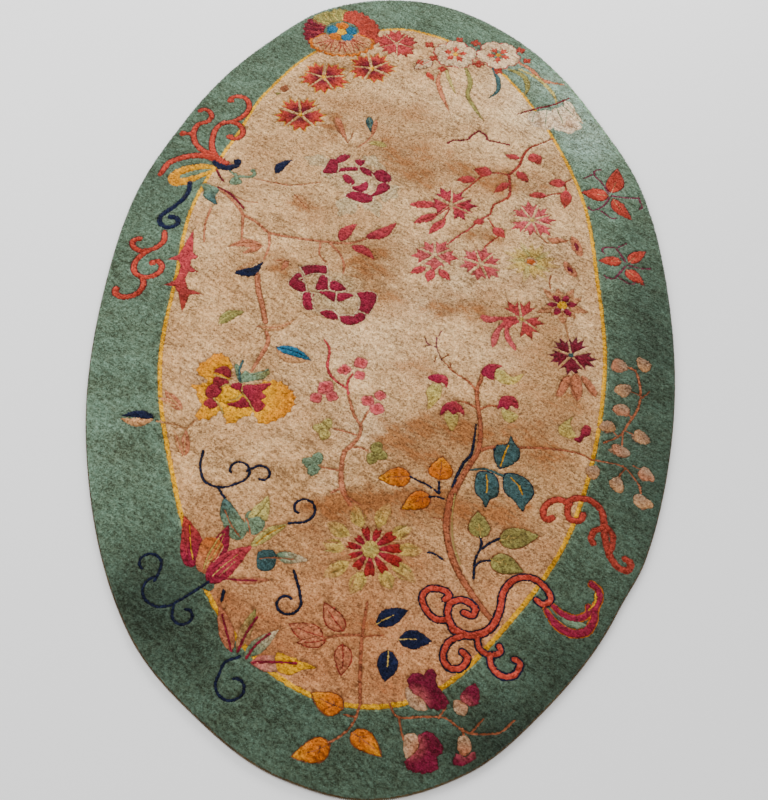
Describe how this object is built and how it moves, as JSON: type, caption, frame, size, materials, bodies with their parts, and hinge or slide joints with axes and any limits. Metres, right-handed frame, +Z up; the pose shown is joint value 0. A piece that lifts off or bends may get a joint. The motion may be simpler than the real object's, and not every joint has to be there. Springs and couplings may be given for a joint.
{
  "type": "oval pile rug",
  "caption": "Oval hand-knotted wool rug with a green border, a fine yellow line, a cream field and flowering sprays, bound by an overcast edge.",
  "frame": {"origin": "middle of the rug's bounding box on the floor, under the pile", "axes": "+Z up out of the pile, +Y along the length towards the end with the orange carnations, +X to the right when seen from the other end"},
  "size_m": [1.2253, 2.1447, 0.0156],
  "materials": {
    "wool_pile": "cut wool pile, matt with a soft nap",
    "overcast_wool": "wrapped wool yarn, matt"
  },
  "bodies": {
    "root": {"knotted_rug": "wool_pile", "edge_overcasting": "overcast_wool"}
  },
  "joints": []
}
